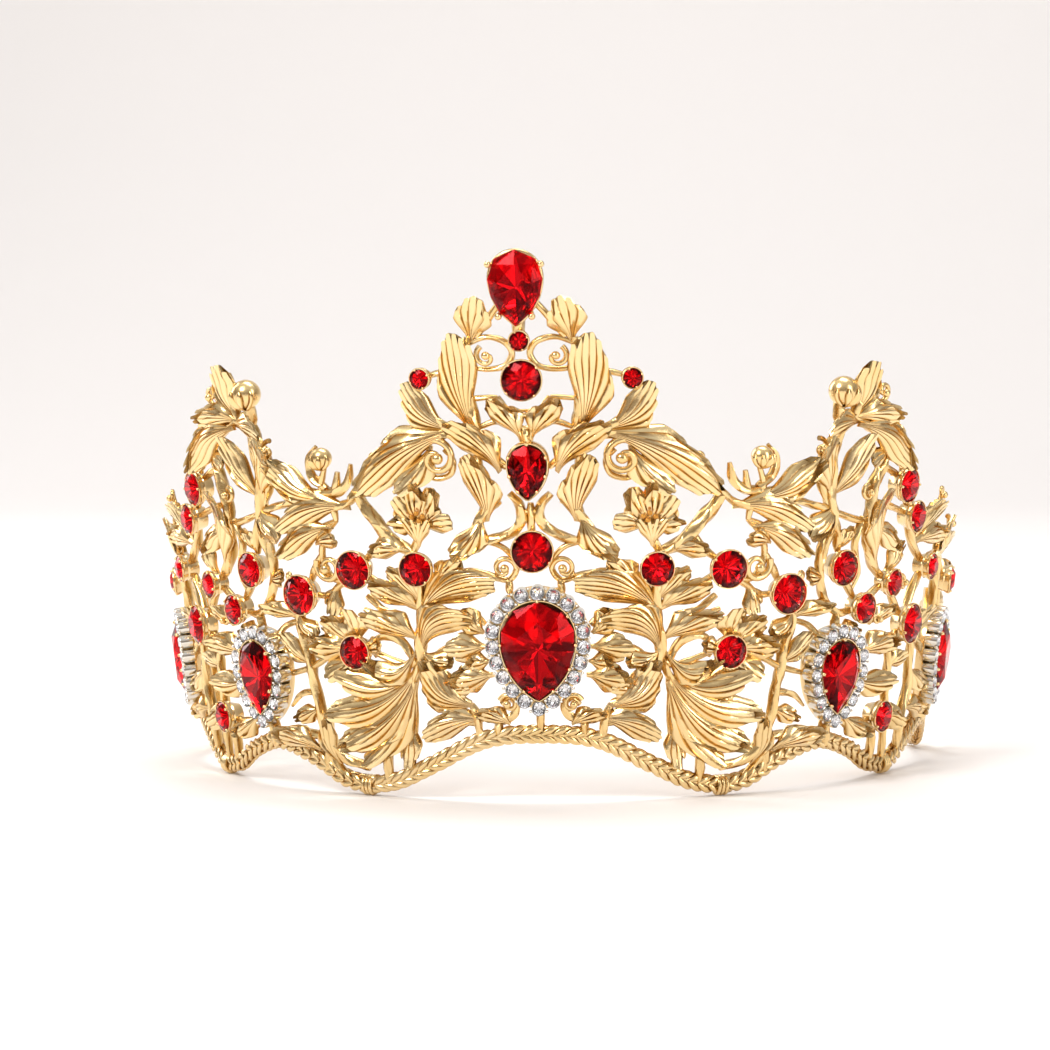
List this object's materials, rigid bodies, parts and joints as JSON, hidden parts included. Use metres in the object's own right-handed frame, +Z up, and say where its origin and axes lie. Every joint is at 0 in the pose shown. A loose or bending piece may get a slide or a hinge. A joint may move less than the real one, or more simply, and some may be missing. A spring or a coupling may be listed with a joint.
{
  "type": "crown",
  "caption": "Open baroque crown of gold openwork with a braided foot band, red pear and round stones, and halo medallions.",
  "frame": {"origin": "centre of the ring, in the plane that the braided band rests on", "axes": "+Z up, -Y towards the front of the crown, +X to the right of a viewer who faces the front"},
  "size_m": [0.1514, 0.0952, 0.0938],
  "materials": {
    "cast_gold": "polished pale gold plating on a cast alloy, darker in the recesses",
    "leaf_gold": "polished pale gold plating with chased veins",
    "band_gold": "pale gold plating on a wheat braid",
    "setting_gold": "polished pale gold plating on thin cups",
    "red_glass": "deep red faceted glass with a mirror foil behind it",
    "clear_glass": "clear faceted glass with a mirror foil behind it"
  },
  "bodies": {
    "root": {"centre_panel": "cast_gold", "centre_band": "band_gold", "joint_ties": "band_gold", "crest_leaves": "leaf_gold", "medallion_leaves": "leaf_gold", "crest_collets": "setting_gold", "crest_stones": "red_glass", "front_collets": "setting_gold", "front_stones": "red_glass", "crest_pear_collet": "setting_gold", "crest_pear_stone": "red_glass", "top_pear_basket": "setting_gold", "top_pear_stone": "red_glass", "centre_medallion_mount": "setting_gold", "centre_medallion_halo": "clear_glass", "centre_medallion_stone": "red_glass", "right_side_panel": "cast_gold", "right_end_panel": "cast_gold", "right_side_band": "band_gold", "right_end_band": "band_gold", "right_lily": "leaf_gold", "right_acanthus": "leaf_gold", "right_rosette": "leaf_gold", "right_side_leaves": "leaf_gold", "right_peak_leaves": "leaf_gold", "right_end_leaves": "leaf_gold", "right_end_post": "cast_gold", "right_side_collets": "setting_gold", "right_side_stones": "red_glass", "right_end_collets": "setting_gold", "right_end_stones": "red_glass", "right_side_medallion_mount": "setting_gold", "right_side_medallion_halo": "clear_glass", "right_side_medallion_stone": "red_glass", "right_end_medallion_mount": "setting_gold", "right_end_medallion_halo": "clear_glass", "right_end_medallion_stone": "red_glass", "left_side_panel": "cast_gold", "left_end_panel": "cast_gold", "left_side_band": "band_gold", "left_end_band": "band_gold", "left_lily": "leaf_gold", "left_acanthus": "leaf_gold", "left_rosette": "leaf_gold", "left_side_leaves": "leaf_gold", "left_peak_leaves": "leaf_gold", "left_end_leaves": "leaf_gold", "left_end_post": "cast_gold", "left_side_collets": "setting_gold", "left_side_stones": "red_glass", "left_end_collets": "setting_gold", "left_end_stones": "red_glass", "left_side_medallion_mount": "setting_gold", "left_side_medallion_halo": "clear_glass", "left_side_medallion_stone": "red_glass", "left_end_medallion_mount": "setting_gold", "left_end_medallion_halo": "clear_glass", "left_end_medallion_stone": "red_glass"}
  },
  "joints": []
}
